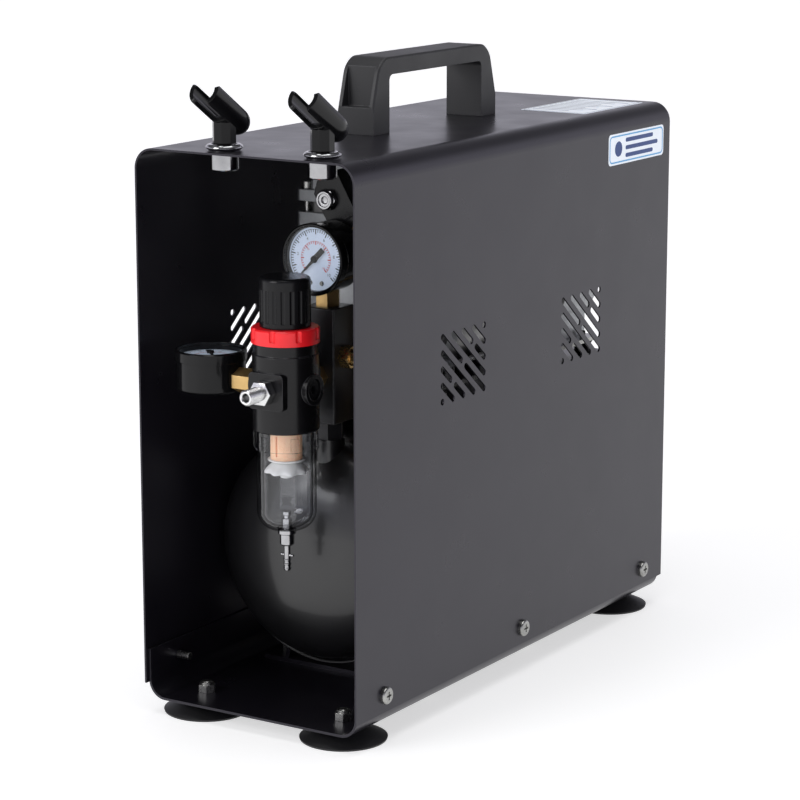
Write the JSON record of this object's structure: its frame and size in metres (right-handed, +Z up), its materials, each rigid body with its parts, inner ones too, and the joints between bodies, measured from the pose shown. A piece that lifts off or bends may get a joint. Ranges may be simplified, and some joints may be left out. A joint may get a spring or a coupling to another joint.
{
  "type": "airbrush compressor",
  "caption": "Oil-free airbrush compressor on an air tank inside an open-ended black sheet cover, with filter regulator, two gauges, carrying handle and airbrush cradles.",
  "frame": {"origin": "on the floor under the middle of the whole object (bottom centre of its box)", "axes": "+X to the right seen from the open front with the gauges, +Y to the back along the cover, +Z up"},
  "size_m": [0.166, 0.4144, 0.408],
  "materials": {
    "black_sheet": "fine-textured black powder coat on sheet steel",
    "tank_paint": "gloss black paint",
    "block_paint": "dark grey coated metal",
    "black_plastic": "matt moulded black plastic",
    "gloss_black": "glossy moulded black plastic",
    "red_plastic": "glossy red plastic",
    "white_plastic": "white plastic",
    "clear_plastic": "clear polycarbonate",
    "lens": "clear lens",
    "filter_media": "sintered filter element",
    "label_film": "printed film",
    "rubber": "black rubber",
    "chrome": "polished chrome",
    "steel": "zinc-plated steel",
    "brass": "machined brass",
    "cast_aluminium": "die-cast aluminium",
    "iron": "cast iron",
    "copper": "enamelled copper wire",
    "pointer": "black painted pointer"
  },
  "bodies": {
    "case": {"cover": "black_sheet", "base_tray": "black_sheet", "tank_brackets": "black_sheet", "tank": "tank_paint", "cover_screws": "steel", "tray_fasteners": "steel", "suction_feet": "rubber", "handle": "black_plastic", "labels": "label_film", "holder_bushings": "chrome", "pump_mounts": "rubber", "pump_base": "steel", "crankcases": "cast_aluminium", "crankcase_covers": "cast_aluminium", "cylinders": "cast_aluminium", "valve_plates": "iron", "cylinder_heads": "cast_aluminium", "pump_bolts": "steel", "intake_filters": "black_plastic", "motor_stator": "steel", "motor_winding": "copper", "motor_bells": "cast_aluminium", "bearings": "steel", "fan_shroud": "black_plastic", "pressure_switch": "gloss_black", "switch_nut": "chrome", "air_lines": "brass", "manifold_block": "block_paint", "safety_valve": "brass", "regulator_body": "gloss_black", "bonnet": "black_plastic", "regulator_spring": "steel", "regulator_ring": "red_plastic", "filter_bowl": "clear_plastic", "filter_element": "filter_media", "filter_baffle": "white_plastic", "drain_body": "chrome", "outlet_nipple": "chrome", "port_plug": "black_plastic", "gauge_cases": "gloss_black", "gauge_dials": "white_plastic", "gauge_lenses": "lens", "switch_box": "black_plastic", "switch_frame": "gloss_black", "cord_gland": "black_plastic"},
    "left_cradle": {"airbrush_cradle_left": "gloss_black"},
    "right_cradle": {"airbrush_cradle_right": "gloss_black"},
    "adjuster": {"adjusting_screw": "steel"},
    "knob": {"regulator_knob": "black_plastic"},
    "bowl_drain": {"drain_plunger": "chrome"},
    "relief_pull": {"safety_valve_pull": "red_plastic"},
    "tank_pointer": {"tank_gauge_needle": "pointer"},
    "regulator_pointer": {"regulator_gauge_needle": "pointer"},
    "power_rocker": {"rocker": "gloss_black"},
    "rotor": {"rotor": "steel", "cranks": "iron", "cooling_fan": "black_plastic"},
    "front_piston": {"front_piston_rod": "cast_aluminium"},
    "rear_piston": {"rear_piston_rod": "cast_aluminium"},
    "drain_screw": {"tank_drain_screw": "brass"}
  },
  "joints": [
    {"name": "left_cradle_swivel", "type": "hinge", "parent": "case", "child": "left_cradle", "pos_m": [-0.024, -0.17675, 0.37], "axis": [0, 0, 1], "continuous": true},
    {"name": "right_cradle_swivel", "type": "hinge", "parent": "case", "child": "right_cradle", "pos_m": [0.047, -0.17675, 0.37], "axis": [0, 0, 1], "continuous": true},
    {"name": "pressure_adjust", "type": "hinge", "parent": "case", "child": "adjuster", "pos_m": [0.011, -0.16475, 0.265], "axis": [0, 0, 1], "range_deg": [-900, 900]},
    {"name": "knob_lift", "type": "slide", "parent": "adjuster", "child": "knob", "axis": [0, 0, 1], "range_m": [0, 0.003]},
    {"name": "bowl_drain_push", "type": "slide", "parent": "case", "child": "bowl_drain", "axis": [0, 0, 1], "range_m": [0, 0.002], "stiffness_N_per_m": 400, "springref_m": -0.001},
    {"name": "relief_ring_pull", "type": "slide", "parent": "case", "child": "relief_pull", "axis": [1, 0, 0], "range_m": [0, 0.0015], "stiffness_N_per_m": 2000, "springref_m": -0.001},
    {"name": "tank_gauge_turn", "type": "hinge", "parent": "case", "child": "tank_pointer", "pos_m": [0.011, -0.12575, 0.2907], "axis": [0, 1, 0], "range_deg": [0, 270], "stiffness_Nm_per_rad": 0.00002},
    {"name": "regulator_gauge_turn", "type": "hinge", "parent": "case", "child": "regulator_pointer", "pos_m": [-0.0453, -0.16475, 0.225], "axis": [0, 0, -1], "range_deg": [0, 270], "stiffness_Nm_per_rad": 0.00002},
    {"name": "power_switch", "type": "hinge", "parent": "case", "child": "power_rocker", "pos_m": [0.04, 0.16325, 0.058], "axis": [1, 0, 0], "range_deg": [-22, 0]},
    {"name": "motor_spin", "type": "hinge", "parent": "case", "child": "rotor", "pos_m": [0, 0.00725, 0.24], "axis": [0, 1, 0], "continuous": true},
    {"name": "front_piston_stroke", "type": "slide", "parent": "case", "child": "front_piston", "axis": [0, 0, 1], "range_m": [-0.012, 0]},
    {"name": "rear_piston_stroke", "type": "slide", "parent": "case", "child": "rear_piston", "axis": [0, 0, 1], "range_m": [0, 0.012]},
    {"name": "tank_drain_turn", "type": "hinge", "parent": "case", "child": "drain_screw", "pos_m": [0, 0.00725, 0.02], "axis": [0, 0, -1], "range_deg": [0, 540]}
  ]
}
